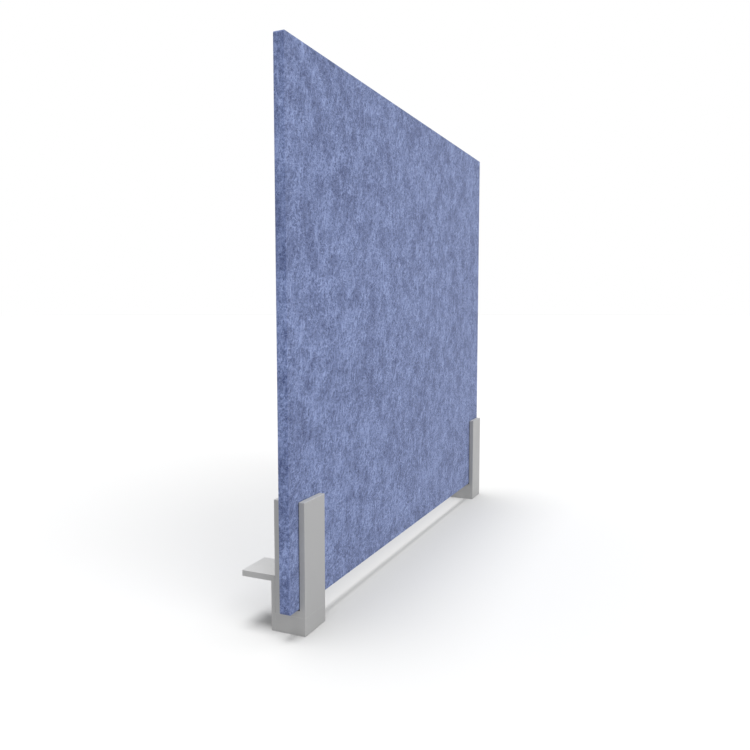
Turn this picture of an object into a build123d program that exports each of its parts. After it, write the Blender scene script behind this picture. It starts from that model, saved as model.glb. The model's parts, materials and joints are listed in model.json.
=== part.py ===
"""Felt privacy panel that stands in the gap between two worktops, held by two hook brackets.

Millimetres, +Z up. X runs across the panel, from the hook side (-X) to the plain side (+X), and Y
runs along it. The origin is on the panel's middle plane, halfway along it, level with the worktops.
"""

from build123d import *
import os

os.makedirs("parts", exist_ok=True)

# Panel board
panel_length = 597.0
panel_height = 508.0
panel_thickness = 10.0
panel_corner_radius = 2.0
panel_edge_radius = 0.5
panel_drop = 22.1  # depth of its lower edge below the worktops

# Bracket: saddle, base block and hook angle, one constant section along Y
bracket_width = 39.0
front_setback = 16.5  # from the front end of the board
rear_setback = 3.0  # from its rear end
wall = 6.0
upright_height = 78.0  # above the worktops
base_depth = 47.5  # below the worktops
tab_reach = 36.0
tab_thickness = 6.0
flange_thickness = 4.0
edge_break = 0.3
slot_corner_radius = 1.0

# Pads and clamp
soft_gap = 0.3  # between the board's faces and the pads beside it
fixed_pad_thickness = 0.5
clamp_pad_thickness = 3.4
clamp_plate_thickness = 2.5
clamp_travel = 3.0
clamp_back_gap = 0.3
seat_pad_thickness = 2.0
hook_pad_thickness = 1.4
hook_pad_proud = 0.2
hook_pad_margin = 3.0
pad_inset = 7.0  # of the fixed pad, from each end of the bracket
seat_pad_inset = 4.0
plate_inset = 3.0
plate_corner_radius = 3.0
pad_margin = 1.0  # of the clamp pad inside its plate
pad_top_margin = 5.5  # from the top of the uprights
clamp_lift = 8.0  # lower edge of the clamp plate above the worktops
fixed_pad_lift = 5.0  # lower edge of the fixed pad above the board's lower edge

# Fasteners, with threads as plain cylinders
screw_clearance = 0.05  # on the radius
set_screw_radius = 2.95
dog_point_radius = 2.0
dog_point_length = 1.5
set_screw_recess = 0.2
set_screw_socket = 3.0  # across flats
set_screw_chamfer = 0.4
set_screw_pitch_z = 34.0  # between the two set screws of a bracket
csk_radius = 2.0
csk_head_radius = 4.0
csk_angle = 90
csk_socket = 2.5
csk_socket_depth = 1.4
csk_tip_gap = 0.5  # from the end of a screw to the far face of its last wall
csk_spacing = 22.0  # along Y
angle_screw_drop = 12.0
base_thread_radius = 2.5  # M6 tapping size
base_thread_depth = 12.0

# Places across the slot, from the board's faces outwards
right_inner = panel_thickness / 2 + soft_gap + fixed_pad_thickness
right_outer = right_inner + wall
clamp_pad_inner = -panel_thickness / 2 - soft_gap
plate_inner = clamp_pad_inner - clamp_pad_thickness
plate_outer = plate_inner - clamp_plate_thickness
left_inner = plate_outer - clamp_travel - clamp_back_gap
left_outer = left_inner - wall
flange_outer = left_outer - flange_thickness
tab_end = left_outer - tab_reach
slot_middle = (left_inner + right_inner) / 2

# Heights
panel_bottom = -panel_drop
slot_floor = panel_bottom - seat_pad_thickness
web_bottom = slot_floor - wall
base_bottom = -base_depth
block_height = web_bottom - base_bottom
tab_bottom = hook_pad_proud
tab_top = tab_bottom + tab_thickness
plate_top = upright_height - pad_top_margin
plate_height = plate_top - clamp_lift
plate_middle = (plate_top + clamp_lift) / 2
set_screw_heights = (plate_middle - set_screw_pitch_z / 2, plate_middle + set_screw_pitch_z / 2)
angle_screw_heights = (-angle_screw_drop, web_bottom - block_height / 2)

front_y = -panel_length / 2 + front_setback + bracket_width / 2
rear_y = panel_length / 2 - rear_setback - bracket_width / 2

plate_width = bracket_width - 2 * plate_inset
pad_middle = (tab_end + flange_outer) / 2
hook_pad_length = flange_outer - tab_end - 2 * hook_pad_margin
seat_pad_width = right_inner - left_inner - 2 * slot_corner_radius
clamp_pad_width = plate_width - 2 * pad_margin
clamp_pad_height = plate_height - 2 * pad_margin
clamp_pad_radius = plate_corner_radius - pad_margin
fixed_pad_bottom = panel_bottom + fixed_pad_lift

hole_radius = csk_radius + screw_clearance
countersink_radius = csk_head_radius + screw_clearance
set_screw_length = wall + clamp_back_gap + clamp_travel - set_screw_recess
set_screw_socket_depth = set_screw_length / 2
angle_screw_length = flange_thickness + wall - csk_tip_gap
base_screw_length = wall + block_height / 2


def countersunk_screw(length):
    """Countersunk socket screw: its flat head at Z = 0, its shank down -Z."""
    with BuildPart() as screw:
        with BuildSketch(Plane.XZ):
            with BuildLine():
                Polyline(
                    (0, 0),
                    (csk_head_radius, 0),
                    (csk_radius, csk_radius - csk_head_radius),
                    (csk_radius, -length),
                    (0, -length),
                    close=True,
                )
            make_face()
        revolve(axis=Axis.Z)
        with BuildSketch(Plane.XY):
            RegularPolygon(csk_socket / 2, side_count=6, major_radius=False)
        extrude(amount=-csk_socket_depth, mode=Mode.SUBTRACT)
    return screw.part


def dog_point_screw():
    """Set screw with a dog point: its shoulder at Z = 0, the point up +Z, the socket at its tail."""
    with BuildPart() as screw:
        with BuildSketch(Plane.XY):
            Circle(set_screw_radius)
        extrude(amount=-set_screw_length)
        chamfer(screw.edges(), set_screw_chamfer)
        with BuildSketch(Plane.XY):
            Circle(dog_point_radius)
        extrude(amount=dog_point_length)
        with BuildSketch(Plane.XY.offset(-set_screw_length)):
            RegularPolygon(set_screw_socket / 2, side_count=6, major_radius=False)
        extrude(amount=set_screw_socket_depth, mode=Mode.SUBTRACT)
    return screw.part


def facing_left(x, y, z):
    """A plane at a point of a side face, looking out along -X."""
    return Plane(origin=(x, y, z), x_dir=(0, -1, 0), z_dir=(-1, 0, 0))


def screw_rows(x, y, heights):
    """Planes for a pair of screws at each height, on a side face that looks along -X."""
    return [facing_left(x, y + dy, z) for z in heights for dy in (-csk_spacing / 2, csk_spacing / 2)]


angle_screw = countersunk_screw(angle_screw_length)
base_screw = countersunk_screw(base_screw_length)
clamp_screw = dog_point_screw()

with BuildPart() as felt_panel:
    with BuildSketch(Plane.YZ):
        with Locations((0, panel_bottom + panel_height / 2)):
            RectangleRounded(panel_length, panel_height, panel_corner_radius)
    extrude(amount=panel_thickness / 2, both=True)
    fillet(felt_panel.faces().filter_by(Axis.X).edges(), panel_edge_radius)
felt_panel.part.label = "felt_panel"
export_step(felt_panel.part, "parts/felt_panel.step")

for side, y in (("front", front_y), ("rear", rear_y)):
    section = Plane.XZ.offset(-y)
    base_screw_ys = (y - csk_spacing / 2, y + csk_spacing / 2)

    # Saddle: the U that the board stands in
    with BuildPart() as saddle:
        with BuildSketch(section) as profile:
            with BuildLine():
                Polyline(
                    (left_outer, web_bottom),
                    (right_outer, web_bottom),
                    (right_outer, upright_height),
                    (right_inner, upright_height),
                    (right_inner, slot_floor),
                    (left_inner, slot_floor),
                    (left_inner, upright_height),
                    (left_outer, upright_height),
                    close=True,
                )
            make_face()
            fillet(profile.vertices().group_by(Axis.Y)[1], slot_corner_radius)
        extrude(amount=bracket_width / 2, both=True)
        end_edges = saddle.faces().filter_by(Axis.Y).edges().group_by(Axis.Z)[1:]
        top_edges = saddle.faces().group_by(Axis.Z)[-1].edges()
        chamfer([edge for group in end_edges for edge in group] + top_edges, edge_break)
        with Locations(*[facing_left(left_outer, y, z) for z in set_screw_heights]):
            Hole(set_screw_radius + screw_clearance, depth=wall)
        with Locations(*screw_rows(left_outer, y, angle_screw_heights[:1])):
            Hole(hole_radius, depth=wall)
        with Locations(*[(slot_middle, screw_y, slot_floor) for screw_y in base_screw_ys]):
            CounterSinkHole(hole_radius, countersink_radius, depth=wall, counter_sink_angle=csk_angle)
    saddle.part.label = f"{side}_saddle"
    export_step(saddle.part, f"parts/{side}_saddle.step")

    # Base block: fills the bracket below the saddle, with a tapped hole in its underside
    with BuildPart() as base_block:
        with BuildSketch(section):
            with Locations(((left_outer + right_outer) / 2, web_bottom)):
                Rectangle(right_outer - left_outer, block_height, align=(Align.CENTER, Align.MAX))
        extrude(amount=bracket_width / 2, both=True)
        lower_edges = base_block.edges().group_by(Axis.Z)[0]
        right_edges = base_block.edges().filter_by(Axis.Z).group_by(Axis.X)[-1]
        chamfer(lower_edges + right_edges, edge_break)
        with Locations(*[(slot_middle, screw_y, web_bottom) for screw_y in base_screw_ys]):
            Hole(hole_radius, depth=base_screw_length - wall + csk_tip_gap)
        with Locations(*screw_rows(left_outer, y, angle_screw_heights[1:])):
            Hole(hole_radius, depth=angle_screw_length - flange_thickness + csk_tip_gap)
        with Locations(Plane(origin=(slot_middle, y, base_bottom), z_dir=(0, 0, -1))):
            Hole(base_thread_radius, depth=base_thread_depth)
    base_block.part.label = f"{side}_base_block"
    export_step(base_block.part, f"parts/{side}_base_block.step")

    # Hook angle: its tab lies on the worktop, its flange goes down the worktop's edge
    with BuildPart() as hook_angle:
        with BuildSketch(section):
            with BuildLine():
                Polyline(
                    (tab_end, tab_bottom),
                    (flange_outer, tab_bottom),
                    (flange_outer, base_bottom),
                    (left_outer, base_bottom),
                    (left_outer, tab_top),
                    (tab_end, tab_top),
                    close=True,
                )
            make_face()
        extrude(amount=bracket_width / 2, both=True)
        free_edges = hook_angle.edges().group_by(Axis.X)[:-1]
        chamfer([edge for group in free_edges for edge in group], edge_break)
        with BuildSketch(Plane.XY.offset(tab_bottom)):
            with Locations((pad_middle, y)):
                Rectangle(hook_pad_length, bracket_width - 2 * hook_pad_margin)
        extrude(amount=hook_pad_thickness - hook_pad_proud, mode=Mode.SUBTRACT)
        with Locations(*screw_rows(flange_outer, y, angle_screw_heights)):
            CounterSinkHole(
                hole_radius, countersink_radius, depth=flange_thickness, counter_sink_angle=csk_angle
            )
    hook_angle.part.label = f"{side}_hook_angle"
    export_step(hook_angle.part, f"parts/{side}_hook_angle.step")

    # Countersunk screws: flange to saddle and base block, and saddle to base block
    with BuildPart() as angle_screws:
        with Locations(*screw_rows(flange_outer, y, angle_screw_heights)):
            add(angle_screw)
    angle_screws.part.label = f"{side}_angle_screws"
    export_step(angle_screws.part, f"parts/{side}_angle_screws.step")

    with BuildPart() as base_screws:
        with Locations(*[(slot_middle, screw_y, slot_floor) for screw_y in base_screw_ys]):
            add(base_screw)
    base_screws.part.label = f"{side}_base_screws"
    export_step(base_screws.part, f"parts/{side}_base_screws.step")

    # Pads: under the board, beside it, and under the hook tab
    with BuildPart() as seat_pad:
        with BuildSketch(Plane.XY.offset(slot_floor)):
            with Locations((slot_middle, y)):
                Rectangle(seat_pad_width, bracket_width - 2 * seat_pad_inset)
        extrude(amount=seat_pad_thickness)
    seat_pad.part.label = f"{side}_seat_pad"
    export_step(seat_pad.part, f"parts/{side}_seat_pad.step")

    with BuildPart() as fixed_pad:
        with BuildSketch(Plane.YZ.offset(right_inner)):
            with Locations((y, (plate_top + fixed_pad_bottom) / 2)):
                Rectangle(bracket_width - 2 * pad_inset, plate_top - fixed_pad_bottom)
        extrude(amount=-fixed_pad_thickness)
    fixed_pad.part.label = f"{side}_fixed_pad"
    export_step(fixed_pad.part, f"parts/{side}_fixed_pad.step")

    with BuildPart() as hook_pad:
        with BuildSketch(Plane.XY):
            with Locations((pad_middle, y)):
                Rectangle(hook_pad_length, bracket_width - 2 * hook_pad_margin)
        extrude(amount=hook_pad_thickness)
    hook_pad.part.label = f"{side}_hook_pad"
    export_step(hook_pad.part, f"parts/{side}_hook_pad.step")

    # Clamp: a plate and its pad, pushed towards the board by two set screws
    with BuildPart() as clamp_plate:
        with BuildSketch(Plane.YZ.offset(plate_outer)):
            with Locations((y, plate_middle)):
                RectangleRounded(plate_width, plate_height, plate_corner_radius)
        extrude(amount=clamp_plate_thickness)
        with Locations(*[facing_left(plate_outer, y, z) for z in set_screw_heights]):
            Hole(dog_point_radius + screw_clearance, depth=clamp_plate_thickness)
    clamp_plate.part.label = f"{side}_clamp_plate"
    export_step(clamp_plate.part, f"parts/{side}_clamp_plate.step")

    with BuildPart() as clamp_pad:
        with BuildSketch(Plane.YZ.offset(plate_inner)):
            with Locations((y, plate_middle)):
                RectangleRounded(clamp_pad_width, clamp_pad_height, clamp_pad_radius)
        extrude(amount=clamp_pad_thickness)
    clamp_pad.part.label = f"{side}_clamp_pad"
    export_step(clamp_pad.part, f"parts/{side}_clamp_pad.step")

    for place, z in zip(("lower", "upper"), set_screw_heights):
        with BuildPart() as set_screw:
            with Locations(Plane(origin=(plate_outer, y, z), x_dir=(0, 1, 0), z_dir=(1, 0, 0))):
                add(clamp_screw)
        set_screw.part.label = f"{side}_{place}_set_screw"
        export_step(set_screw.part, f"parts/{side}_{place}_set_screw.step")
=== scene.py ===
"""Looks for a felt desk privacy panel on two hook brackets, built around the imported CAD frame.

Metres, in the row's frame: +X across the board, +Y along it, +Z up, worktop level at Z = 0.
"""

import json
import math

import bpy
import numpy as np
from mathutils import Euler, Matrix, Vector, noise


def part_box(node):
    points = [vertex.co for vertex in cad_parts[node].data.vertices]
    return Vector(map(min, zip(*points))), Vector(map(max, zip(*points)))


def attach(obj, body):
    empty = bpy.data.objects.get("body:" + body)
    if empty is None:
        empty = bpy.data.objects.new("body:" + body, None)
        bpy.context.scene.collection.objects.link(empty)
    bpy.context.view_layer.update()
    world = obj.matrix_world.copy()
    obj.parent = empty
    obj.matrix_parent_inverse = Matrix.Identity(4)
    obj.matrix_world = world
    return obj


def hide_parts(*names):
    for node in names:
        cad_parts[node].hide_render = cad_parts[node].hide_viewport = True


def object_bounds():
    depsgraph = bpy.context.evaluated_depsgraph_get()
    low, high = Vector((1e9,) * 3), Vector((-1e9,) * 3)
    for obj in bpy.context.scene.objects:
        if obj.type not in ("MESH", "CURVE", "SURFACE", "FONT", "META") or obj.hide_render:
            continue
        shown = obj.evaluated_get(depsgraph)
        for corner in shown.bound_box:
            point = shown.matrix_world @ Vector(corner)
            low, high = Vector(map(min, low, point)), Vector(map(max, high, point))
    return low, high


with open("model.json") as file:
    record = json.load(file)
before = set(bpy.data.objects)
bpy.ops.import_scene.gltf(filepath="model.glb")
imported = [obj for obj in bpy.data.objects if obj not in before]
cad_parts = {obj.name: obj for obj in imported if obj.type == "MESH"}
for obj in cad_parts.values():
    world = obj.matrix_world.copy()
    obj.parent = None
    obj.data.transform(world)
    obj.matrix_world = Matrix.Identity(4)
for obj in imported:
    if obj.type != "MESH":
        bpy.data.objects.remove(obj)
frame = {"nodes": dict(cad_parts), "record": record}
cad_low, cad_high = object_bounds()
MM = 0.001

# Slabs: the felt board and the rubber pads
BOARD_CORNER = 2.0 * MM
BOARD_EDGE = 0.45 * MM
BOARD_CELL = 3.0 * MM
NAP = 0.28 * MM
PAD_CORNER = 1.0 * MM
PAD_EDGE = 0.2 * MM
PAD_CELL = 0.5 * MM
LINER_CELL = 2.0 * MM
CORNER_LINES = 5
EDGE_ANGLES = (30, 60, 90)
RIM_SHARES = (0.5, 0.0, -0.5)
SHARP_FROM = math.radians(35)

# Unevenness of the felt's faces: depths in millimetres, and the dimples' own layer of the noise
FELT_SINK = 0.06
DENT_DEPTH = 0.03
DENTS_PER_METRE = 60
DIMPLE_DEPTH = 0.05
DIMPLES_PER_METRE = 260
DIMPLE_LAYER = 5

# Moulded ribs of the pads
RIB_PITCH = 3.0 * MM
RIB_DEPTH = 0.25 * MM

# M6 set screws: socket, thread and dog point. The thread's depth grows from 0 to 1 between its crest
# and its root, as FLANK_STEEPNESS times the distance from the crest, less FLANK_OFFSET.
SOCKET_HALF_FLATS = 1.5 * MM
SOCKET_DEPTH = 4.4 * MM
THREAD_PITCH = 1.0 * MM
THREAD_CREST = 2.95 * MM
THREAD_ROOT = 2.40 * MM
THREAD_RUNOUT = 0.6 * MM
FLANK_STEEPNESS = 1.35
FLANK_OFFSET = 0.15
RINGS_PER_PITCH = 10
SCREW_SEGMENTS = 48
DOG_RADIUS = 2.0 * MM
DOG_LENGTH = 1.55 * MM
DOG_CHAMFER = 0.2 * MM

# Colours
FELT_DARK, FELT_LIGHT = (0.039, 0.058, 0.150), (0.126, 0.168, 0.320)
DARK_TUFT, LIGHT_TUFT = (0.024, 0.037, 0.103), (0.228, 0.286, 0.503)
DARK_HAIR, LIGHT_HAIR = (0.026, 0.040, 0.108), (0.290, 0.345, 0.560)
PAINT_DARK, PAINT_LIGHT = (0.255, 0.255, 0.255), (0.285, 0.285, 0.287)
# Lighter grey for sharp edges: partly paint worn thin, partly a painted highlight
PAINT_WEAR_AND_HIGHLIGHT = (0.44, 0.44, 0.44)
RUBBER_CLEAN, RUBBER_DUSTY = (0.016, 0.016, 0.017), (0.034, 0.034, 0.035)
ZINC_PLATE, STAINLESS = (0.62, 0.63, 0.64), (0.52, 0.52, 0.53)
FLOOR_GREY = (0.38, 0.38, 0.38)
ROOM_WHITE = (1.0, 1.0, 1.0)

# Directions of the felt's fibres in the board's plane, in radians
TUFT_TURNS = (0.1, 0.6, 1.15, 1.6, 2.1, 2.65)
HAIR_TURNS = (0.4, 1.4, 2.4)
FIBRE_TILT = 0.12

# Stage
FLOOR_RADIUS = 40
FLOOR_SIDES = 96
ROOM_STRENGTH = 1.0

# Camera, measured from the board's near end and the worktop level; angles in degrees, lens in mm
CAMERA_ACROSS = 0.332
CAMERA_BEFORE_BOARD = 0.547
CAMERA_HEIGHT = 0.251
CAMERA_PITCH = 5.03
CAMERA_YAW = 23.96
CAMERA_LENS = 34.96
SENSOR_WIDTH = 36.0


# ---------------------------------------------------------------- node helpers


class Nodes:
    """A material's node tree, with short calls for what the materials below use."""

    def __init__(self, name):
        self.material = bpy.data.materials.new(name)
        self.material.use_nodes = True
        self.tree = self.material.node_tree
        self.shader = self.tree.nodes["Principled BSDF"]

    def add(self, kind, **settings):
        node = self.tree.nodes.new(kind)
        for key, value in settings.items():
            setattr(node, key, value)
        return node

    def link(self, source, target):
        self.tree.links.new(source, target)

    def place(self, scale=(1, 1, 1), turn=(0, 0, 0)):
        """Object coordinates, turned and then scaled."""
        coords = self.add("ShaderNodeTexCoord")
        turned = self.add("ShaderNodeVectorRotate", rotation_type="EULER_XYZ")
        turned.inputs["Rotation"].default_value = turn
        mapping = self.add("ShaderNodeMapping", vector_type="POINT")
        mapping.inputs["Scale"].default_value = scale
        self.link(coords.outputs["Object"], turned.inputs["Vector"])
        self.link(turned.outputs["Vector"], mapping.inputs["Vector"])
        return mapping.outputs["Vector"]

    def noise(self, vector, scale, detail=2.0, roughness=0.5, distortion=0.0):
        node = self.add("ShaderNodeTexNoise", noise_dimensions="3D")
        node.inputs["Scale"].default_value = scale
        node.inputs["Detail"].default_value = detail
        node.inputs["Roughness"].default_value = roughness
        node.inputs["Distortion"].default_value = distortion
        self.link(vector, node.inputs["Vector"])
        return node.outputs["Fac"]

    def math(self, operation, a, b):
        node = self.add("ShaderNodeMath", operation=operation)
        for socket, value in zip(node.inputs, (a, b)):
            if isinstance(value, (int, float)):
                socket.default_value = value
            else:
                self.link(value, socket)
        return node.outputs["Value"]

    def span(self, value, low, high, to_low=0.0, to_high=1.0):
        """Maps low..high to to_low..to_high, clamped."""
        node = self.add("ShaderNodeMapRange", clamp=True)
        limits = {"From Min": low, "From Max": high, "To Min": to_low, "To Max": to_high}
        for name, number in limits.items():
            node.inputs[name].default_value = number
        self.link(value, node.inputs["Value"])
        return node.outputs["Result"]

    def mix(self, share, a, b):
        """Colour a where share is 0, colour b where it is 1."""
        node = self.add("ShaderNodeMix", data_type="RGBA", blend_type="MIX")
        self.link(share, node.inputs[0])
        for socket, colour in ((node.inputs[6], a), (node.inputs[7], b)):
            if isinstance(colour, tuple):
                socket.default_value = (*colour, 1)
            else:
                self.link(colour, socket)
        return node.outputs[2]

    def lay(self, under, over, share, strength):
        """Colour over on colour under, by share times strength."""
        return self.mix(self.math("MULTIPLY", share, strength), under, over)

    def bump(self, height, distance, strength):
        node = self.add("ShaderNodeBump")
        node.inputs["Distance"].default_value = distance
        node.inputs["Strength"].default_value = strength
        self.link(height, node.inputs["Height"])
        self.link(node.outputs["Normal"], self.shader.inputs["Normal"])

    def edges(self, radius):
        """1 along sharp edges, 0 on flat faces."""
        bevel = self.add("ShaderNodeBevel", samples=6)
        bevel.inputs["Radius"].default_value = radius
        geometry = self.add("ShaderNodeNewGeometry")
        likeness = self.add("ShaderNodeVectorMath", operation="DOT_PRODUCT")
        self.link(bevel.outputs["Normal"], likeness.inputs[0])
        self.link(geometry.outputs["Normal"], likeness.inputs[1])
        return self.span(likeness.outputs["Value"], low=0.995, high=0.80)


# ---------------------------------------------------------------- materials


def strands(m, turns, first_scale, scale_step, slimness, low, high):
    """Light and dark fibres in several directions of the board's plane: two shares, 0 to 1."""
    light_fibres, dark_fibres = 0.0, 0.0
    for i, angle in enumerate(turns):
        along = m.place(scale=(1.0, 1.0, slimness), turn=(angle, FIBRE_TILT * i, 0.0))
        strand = m.noise(along, first_scale + scale_step * i, detail=2.5, distortion=0.6)
        light_fibres = m.math("MAXIMUM", light_fibres, m.span(strand, low, high))
        dark_fibres = m.math("MAXIMUM", dark_fibres, m.span(strand, 1 - low, 1 - high))
    return light_fibres, dark_fibres


def felt_material():
    """Pressed polyester felt: tufts and hairs of crossing fibres, light and dark, on cloudy blue."""
    m = Nodes("felt_heather")
    here = m.place()
    tufts = m.noise(here, scale=170, distortion=0.8)
    clouds = m.noise(here, scale=48, detail=3.0, roughness=0.6)
    drifts = m.noise(here, scale=14)
    shade = m.math("ADD", m.math("MULTIPLY", tufts, 0.30), m.math("MULTIPLY", clouds, 0.40))
    shade = m.math("ADD", shade, m.math("MULTIPLY", drifts, 0.30))
    clumps = m.span(clouds, low=0.40, high=0.60, to_low=0.50)
    light_tufts, dark_tufts = strands(
        m, TUFT_TURNS, first_scale=270, scale_step=55, slimness=0.28, low=0.55, high=0.75
    )
    light_hairs, dark_hairs = strands(
        m, HAIR_TURNS, first_scale=1300, scale_step=150, slimness=0.10, low=0.54, high=0.68
    )
    colour = m.mix(m.span(shade, low=0.41, high=0.59), FELT_DARK, FELT_LIGHT)
    colour = m.lay(colour, DARK_TUFT, dark_tufts, strength=0.95)
    colour = m.lay(colour, LIGHT_TUFT, light_tufts, strength=clumps)
    colour = m.lay(colour, DARK_HAIR, dark_hairs, strength=0.35)
    colour = m.lay(colour, LIGHT_HAIR, light_hairs, strength=0.28)
    m.link(colour, m.shader.inputs["Base Color"])
    raised = m.math("ADD", light_tufts, light_hairs)
    sunken = m.math("ADD", dark_tufts, dark_hairs)
    relief = m.math("SUBTRACT", raised, sunken)
    roughness = m.span(relief, low=-1, high=1, to_low=0.98, to_high=0.86)
    m.link(roughness, m.shader.inputs["Roughness"])
    m.shader.inputs["Sheen Weight"].default_value = 0.1
    m.shader.inputs["Sheen Roughness"].default_value = 0.6
    m.shader.inputs["Specular IOR Level"].default_value = 0.1
    m.bump(relief, distance=0.12 * MM, strength=0.7)
    return m.material


def paint_material():
    """Silver-grey powder coat: fine orange peel, uneven gloss, and edges lighter from slight wear
    and a painted highlight.
    """
    m = Nodes("powder_coat")
    here = m.place()
    peel = m.noise(here, scale=1400)
    patches = m.noise(here, scale=45, detail=3.0)
    scuffs = m.span(m.noise(here, scale=260, detail=3.0), low=0.35, high=0.7)
    # Every sharp edge, broken up by scuffs, is lightened: partly worn paint, partly a painted
    # highlight along the edges
    wear_and_highlight = m.math("MULTIPLY", m.edges(radius=0.7 * MM), scuffs)
    base = m.mix(patches, PAINT_DARK, PAINT_LIGHT)
    m.link(m.lay(base, PAINT_WEAR_AND_HIGHLIGHT, wear_and_highlight, strength=0.5), m.shader.inputs["Base Color"])
    roughness = m.span(patches, low=0.3, high=0.7, to_low=0.40, to_high=0.52)
    m.link(roughness, m.shader.inputs["Roughness"])
    m.bump(peel, distance=0.04 * MM, strength=0.5)
    return m.material


def rubber_material():
    """Black moulded rubber with a fine grain and a little dust."""
    m = Nodes("pad_rubber")
    here = m.place()
    grain = m.noise(here, scale=2200, detail=3.0)
    dust = m.noise(here, scale=160, detail=4.0)
    colour = m.mix(m.span(dust, low=0.45, high=0.75), RUBBER_CLEAN, RUBBER_DUSTY)
    m.link(colour, m.shader.inputs["Base Color"])
    roughness = m.span(dust, low=0.3, high=0.7, to_low=0.62, to_high=0.80)
    m.link(roughness, m.shader.inputs["Roughness"])
    m.bump(grain, distance=0.03 * MM, strength=0.7)
    return m.material


def steel_material(name, colour, mark_scale):
    """Bare metal with fine marks drawn along Z and faint stains."""
    m = Nodes(name)
    marks = m.noise(m.place(scale=(1, 1, 0.05)), mark_scale, detail=3.0)
    stains = m.noise(m.place(), scale=120, detail=3.0)
    dull = tuple(0.82 * channel for channel in colour)
    m.link(m.mix(stains, colour, dull), m.shader.inputs["Base Color"])
    roughness = m.span(marks, low=0.3, high=0.7, to_low=0.26, to_high=0.42)
    m.link(roughness, m.shader.inputs["Roughness"])
    m.shader.inputs["Metallic"].default_value = 1.0
    m.bump(marks, distance=0.01 * MM, strength=0.4)
    return m.material


MATERIALS = {
    "felt": felt_material(),
    "bracket_paint": paint_material(),
    "pad_rubber": rubber_material(),
    "plate_steel": steel_material("plate_steel", ZINC_PLATE, mark_scale=2600),
    "screw_steel": steel_material("screw_steel", STAINLESS, mark_scale=3200),
}


def finish_piece(piece, slot):
    """Gives a piece the material of its slot."""
    piece.data.materials.clear()
    piece.data.materials.append(MATERIALS[slot])


# ---------------------------------------------------------------- pieces


def add_mesh(name, points, faces):
    """A smooth-shaded object with sharp edges kept."""
    mesh = bpy.data.meshes.new(name)
    mesh.from_pydata(points, [], faces)
    mesh.validate()
    mesh.shade_smooth()
    mesh.set_sharp_from_angle(angle=SHARP_FROM)
    piece = bpy.data.objects.new(name, mesh)
    bpy.context.scene.collection.objects.link(piece)
    return piece


def stand_for(piece, node):
    """The piece takes the place, body and finish of a CAD node."""
    record = frame["record"]
    bodies = record["behaviour"]["bodies"]
    body = next(name for name, members in bodies.items() if node in members)
    slot = next(part["material_slot"] for part in record["subparts"] if part["node"] == node)
    finish_piece(piece, slot)
    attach(piece, body)
    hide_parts(node)


def ring_faces(first, second):
    """Quads between two closed rings of points."""
    n = len(first)
    return [(first[k], second[k], second[(k + 1) % n], first[(k + 1) % n]) for k in range(n)]


def outline_point(u, v, half_u, half_v, radius):
    """Bends a rectangle's corner squares into quarter discs, so that a grid has round corners."""
    over_u, over_v = abs(u) - (half_u - radius), abs(v) - (half_v - radius)
    if over_u > 0 and over_v > 0:
        a, b = over_u / radius, over_v / radius
        u = math.copysign(half_u - radius + radius * a * math.sqrt(1 - b * b / 2), u)
        v = math.copysign(half_v - radius + radius * b * math.sqrt(1 - a * a / 2), v)
    return u, v


def grid_lines(half, radius, cell):
    """Positions along a side, with lines close together in the rounded corners."""
    corner = np.linspace(half - radius, half, CORNER_LINES)
    count = max(2, round(2 * (half - radius) / cell))
    middle = np.linspace(-(half - radius), half - radius, count + 1)
    return np.concatenate([-corner[:0:-1], middle, corner[1:]])


def rounded_slab(name, node, axis, corner, edge, cell, relief, grow=0.0):
    """A slab in the place of a CAD node, thin along the axis, with round corners and edges.

    It is larger by grow on every side, and its broad faces are grids sunk by relief(u, v) metres.
    """
    low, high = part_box(node)
    middle, half = (low + high) / 2, (high - low) / 2 + Vector((grow, grow, grow))
    across, along = (axis + 1) % 3, (axis + 2) % 3
    half_u, half_v, radius = half[across] - edge, half[along] - edge, corner - edge
    us, vs = grid_lines(half_u, radius, cell), grid_lines(half_v, radius, cell)
    nu, nv = len(us), len(vs)
    flat = [outline_point(u, v, half_u, half_v, radius) for v in vs for u in us]
    points, faces = [], []

    def add_point(thin, u, v):
        point = middle.copy()
        point[axis] += thin
        point[across] += u
        point[along] += v
        points.append(point)

    for side in (1, -1):
        start = len(points)
        for u, v in flat:
            add_point(side * (half[axis] - relief(u, v)), u, v)
        for j in range(nv - 1):
            for i in range(nu - 1):
                a = start + j * nu + i
                quad = (a, a + 1, a + nu + 1, a + nu)
                faces.append(quad if side > 0 else quad[::-1])

    # The outer points of a face's grid, in order round it
    ring = list(range(nu))
    ring += [j * nu + nu - 1 for j in range(1, nv)]
    ring += [(nv - 1) * nu + i for i in range(nu - 2, -1, -1)]
    ring += [j * nu for j in range(nv - 2, 0, -1)]

    # Rings over the upper edge, down the rim and round the lower edge
    bend = [
        (edge * math.sin(t), half[axis] - edge * (1 - math.cos(t))) for t in np.radians(EDGE_ANGLES)
    ]
    steps = bend + [(edge, (half[axis] - edge) * share) for share in RIM_SHARES]
    steps += [(out, -thin) for out, thin in reversed(bend)]
    previous = ring
    for out, thin in steps:
        start = len(points)
        for k in ring:
            u, v = flat[k]
            away_u = math.copysign(max(abs(u) - (half_u - radius), 0), u)
            away_v = math.copysign(max(abs(v) - (half_v - radius), 0), v)
            length = math.hypot(away_u, away_v)
            add_point(thin, u + out * away_u / length, v + out * away_v / length)
        current = list(range(start, len(points)))
        faces += ring_faces(previous, current)
        previous = current
    faces += ring_faces(previous, [nu * nv + k for k in ring])
    stand_for(add_mesh(name, points, faces), node)


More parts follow.
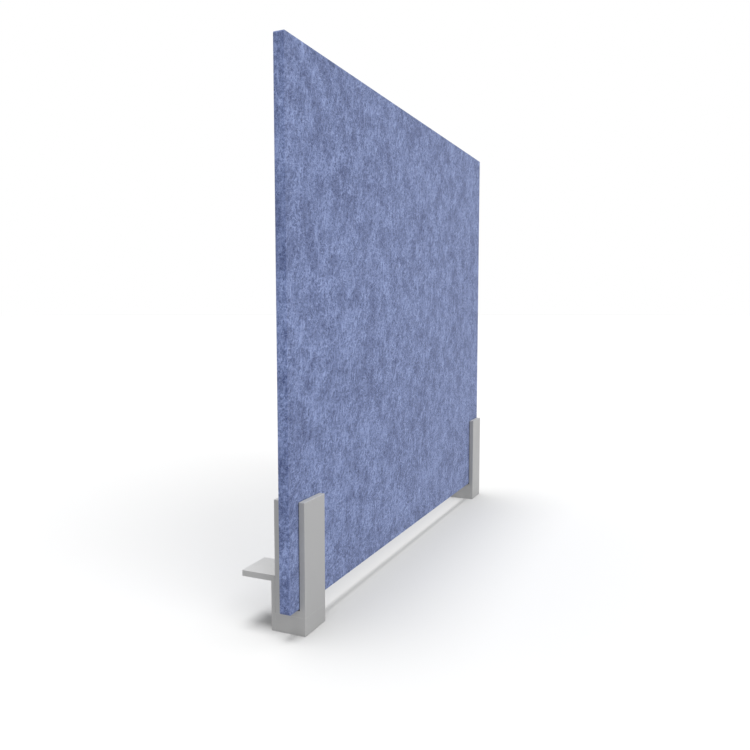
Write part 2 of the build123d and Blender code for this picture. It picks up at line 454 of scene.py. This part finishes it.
def felt_relief(u, v):
    """Pressed felt is a little uneven: slow dents, and finer dimples between bundles of fibres."""
    dents = noise.noise(Vector((u * DENTS_PER_METRE, v * DENTS_PER_METRE, 0)))
    dimples = noise.noise(Vector((u * DIMPLES_PER_METRE, v * DIMPLES_PER_METRE, DIMPLE_LAYER)))
    return (FELT_SINK + DENT_DEPTH * dents + DIMPLE_DEPTH * dimples) * MM


def rib_relief(u, v):
    """Round ribs across a moulded pad."""
    return RIB_DEPTH * (0.5 - 0.5 * math.cos(2 * math.pi * v / RIB_PITCH))


def flat_relief(u, v):
    """A smooth face."""
    return 0.0


def hexagon(angle):
    """Radius of the socket's wall at an angle."""
    side_angle = math.pi / 3
    return SOCKET_HALF_FLATS / math.cos((angle + side_angle / 2) % side_angle - side_angle / 2)


def circle(size):
    """The same radius at every angle."""
    return lambda angle: size


def set_screw(node):
    """Set screw along +X: hexagon socket in its tail, a rolled thread, and a dog point."""
    low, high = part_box(node)
    centre = (low + high) / 2
    tail, tip = low.x, high.x
    shoulder = tip - DOG_LENGTH

    def thread(x):
        """Radius of the thread at x, as a function of the angle; it fades out at both ends."""
        to_end = min(x - tail, shoulder - x)
        depth = (THREAD_CREST - THREAD_ROOT) * min(1.0, to_end / THREAD_RUNOUT)
        chamfer = max(0.0, THREAD_RUNOUT - to_end)

        def radius(angle):
            phase = ((x - tail) / THREAD_PITCH - angle / (2 * math.pi)) % 1.0
            wave = FLANK_STEEPNESS * abs(2 * phase - 1) - FLANK_OFFSET
            return min(THREAD_CREST - depth * min(1.0, max(0.0, wave)), THREAD_CREST - chamfer)

        return radius

    count = round((shoulder - tail) / THREAD_PITCH * RINGS_PER_PITCH)
    rings = [(tail + SOCKET_DEPTH, hexagon), (tail, hexagon)]
    rings += [(x, thread(x)) for x in np.linspace(tail, shoulder, count)]
    rings += [(shoulder, circle(DOG_RADIUS)), (tip - DOG_CHAMFER, circle(DOG_RADIUS))]
    rings += [(tip, circle(DOG_RADIUS - DOG_CHAMFER))]
    angles = [2 * math.pi * k / SCREW_SEGMENTS for k in range(SCREW_SEGMENTS)]
    points, faces = [], []
    previous = None
    for x, radius in rings:
        current = list(range(len(points), len(points) + SCREW_SEGMENTS))
        for angle in angles:
            r = radius(angle)
            points.append((x, centre.y + r * math.cos(angle), centre.z + r * math.sin(angle)))
        if previous:
            faces += ring_faces(current, previous)
        previous = current
    socket_floor, tip_face = tuple(range(SCREW_SEGMENTS))[::-1], tuple(previous)
    faces += [socket_floor, tip_face]
    stand_for(add_mesh(f"{node}_threaded", points, faces), node)


# ---------------------------------------------------------------- stage


def sun(name, brightness, width, towards):
    """Light from far away: brightness as a white surface facing it would show, width in degrees."""
    data = bpy.data.lights.new(name, "SUN")
    data.energy = brightness * math.pi
    data.angle = math.radians(width)
    lamp = bpy.data.objects.new(name, data)
    lamp.rotation_euler = Vector(towards).to_track_quat("-Z", "Y").to_euler()
    bpy.context.scene.collection.objects.link(lamp)


def make_floor():
    """A plain floor at the level of the brackets' feet."""
    bpy.ops.mesh.primitive_circle_add(
        vertices=FLOOR_SIDES, radius=FLOOR_RADIUS, fill_type="NGON", location=(0, 0, cad_low.z)
    )
    floor = bpy.context.active_object
    floor.name = "floor"
    m = Nodes("plain_floor")
    m.shader.inputs["Base Color"].default_value = (*FLOOR_GREY, 1)
    m.shader.inputs["Roughness"].default_value = 0.8
    m.shader.inputs["Specular IOR Level"].default_value = 0.1
    floor.data.materials.append(m.material)


def make_lights():
    """A white room, a soft light from behind the camera on its right, and one from overhead."""
    world = bpy.data.worlds.new("white_room")
    world.use_nodes = True
    background = world.node_tree.nodes["Background"]
    background.inputs["Color"].default_value = (*ROOM_WHITE, 1)
    background.inputs["Strength"].default_value = ROOM_STRENGTH
    bpy.context.scene.world = world
    sun("key", brightness=0.56, width=35, towards=(-0.90, 0.44, -0.88))
    sun("overhead", brightness=1.40, width=30, towards=(0.05, 0.02, -1.0))
    bpy.context.scene.view_settings.view_transform = "Standard"


def make_camera():
    """The photograph's viewpoint, beyond the board's near end and to its right."""
    board_low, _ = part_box("felt_panel")
    data = bpy.data.cameras.new("camera")
    data.lens = CAMERA_LENS
    data.sensor_width = SENSOR_WIDTH
    camera = bpy.data.objects.new("camera", data)
    camera.location = (CAMERA_ACROSS, board_low.y - CAMERA_BEFORE_BOARD, CAMERA_HEIGHT)
    camera.rotation_euler = Euler((math.radians(90 - CAMERA_PITCH), 0, math.radians(CAMERA_YAW)))
    bpy.context.scene.collection.objects.link(camera)
    bpy.context.scene.camera = camera


# ---------------------------------------------------------------- assembly


def make_board():
    """The felt board, with a nap that stands a little out of the CAD board."""
    rounded_slab(
        "felt_board",
        "felt_panel",
        axis=0,
        corner=BOARD_CORNER,
        edge=BOARD_EDGE,
        cell=BOARD_CELL,
        relief=felt_relief,
        grow=NAP,
    )


def make_bracket_pieces(side):
    """The pads and set screws of one bracket, front or rear."""
    pad = {"corner": PAD_CORNER, "edge": PAD_EDGE, "cell": PAD_CELL, "relief": rib_relief}
    clamp_pad = {**pad, "corner": 2 * PAD_CORNER}
    liner = {**pad, "cell": LINER_CELL, "relief": flat_relief}
    rounded_slab(f"{side}_seat_strip", f"{side}_seat_pad", axis=2, **pad)
    rounded_slab(f"{side}_hook_strip", f"{side}_hook_pad", axis=2, **pad)
    rounded_slab(f"{side}_clamp_strip", f"{side}_clamp_pad", axis=0, **clamp_pad)
    rounded_slab(f"{side}_liner", f"{side}_fixed_pad", axis=0, **liner)
    set_screw(f"{side}_lower_set_screw")
    set_screw(f"{side}_upper_set_screw")


def finish_cad_nodes():
    """Materials for the CAD nodes that stay visible."""
    replaced = ("felt_panel", "seat_pad", "hook_pad", "clamp_pad", "fixed_pad", "set_screw")
    for part in frame["record"]["subparts"]:
        if not part["node"].endswith(replaced):
            finish_piece(frame["nodes"][part["node"]], part["material_slot"])


make_camera()
make_floor()
make_lights()
make_board()
for side in ("front", "rear"):
    make_bracket_pieces(side)
finish_cad_nodes()
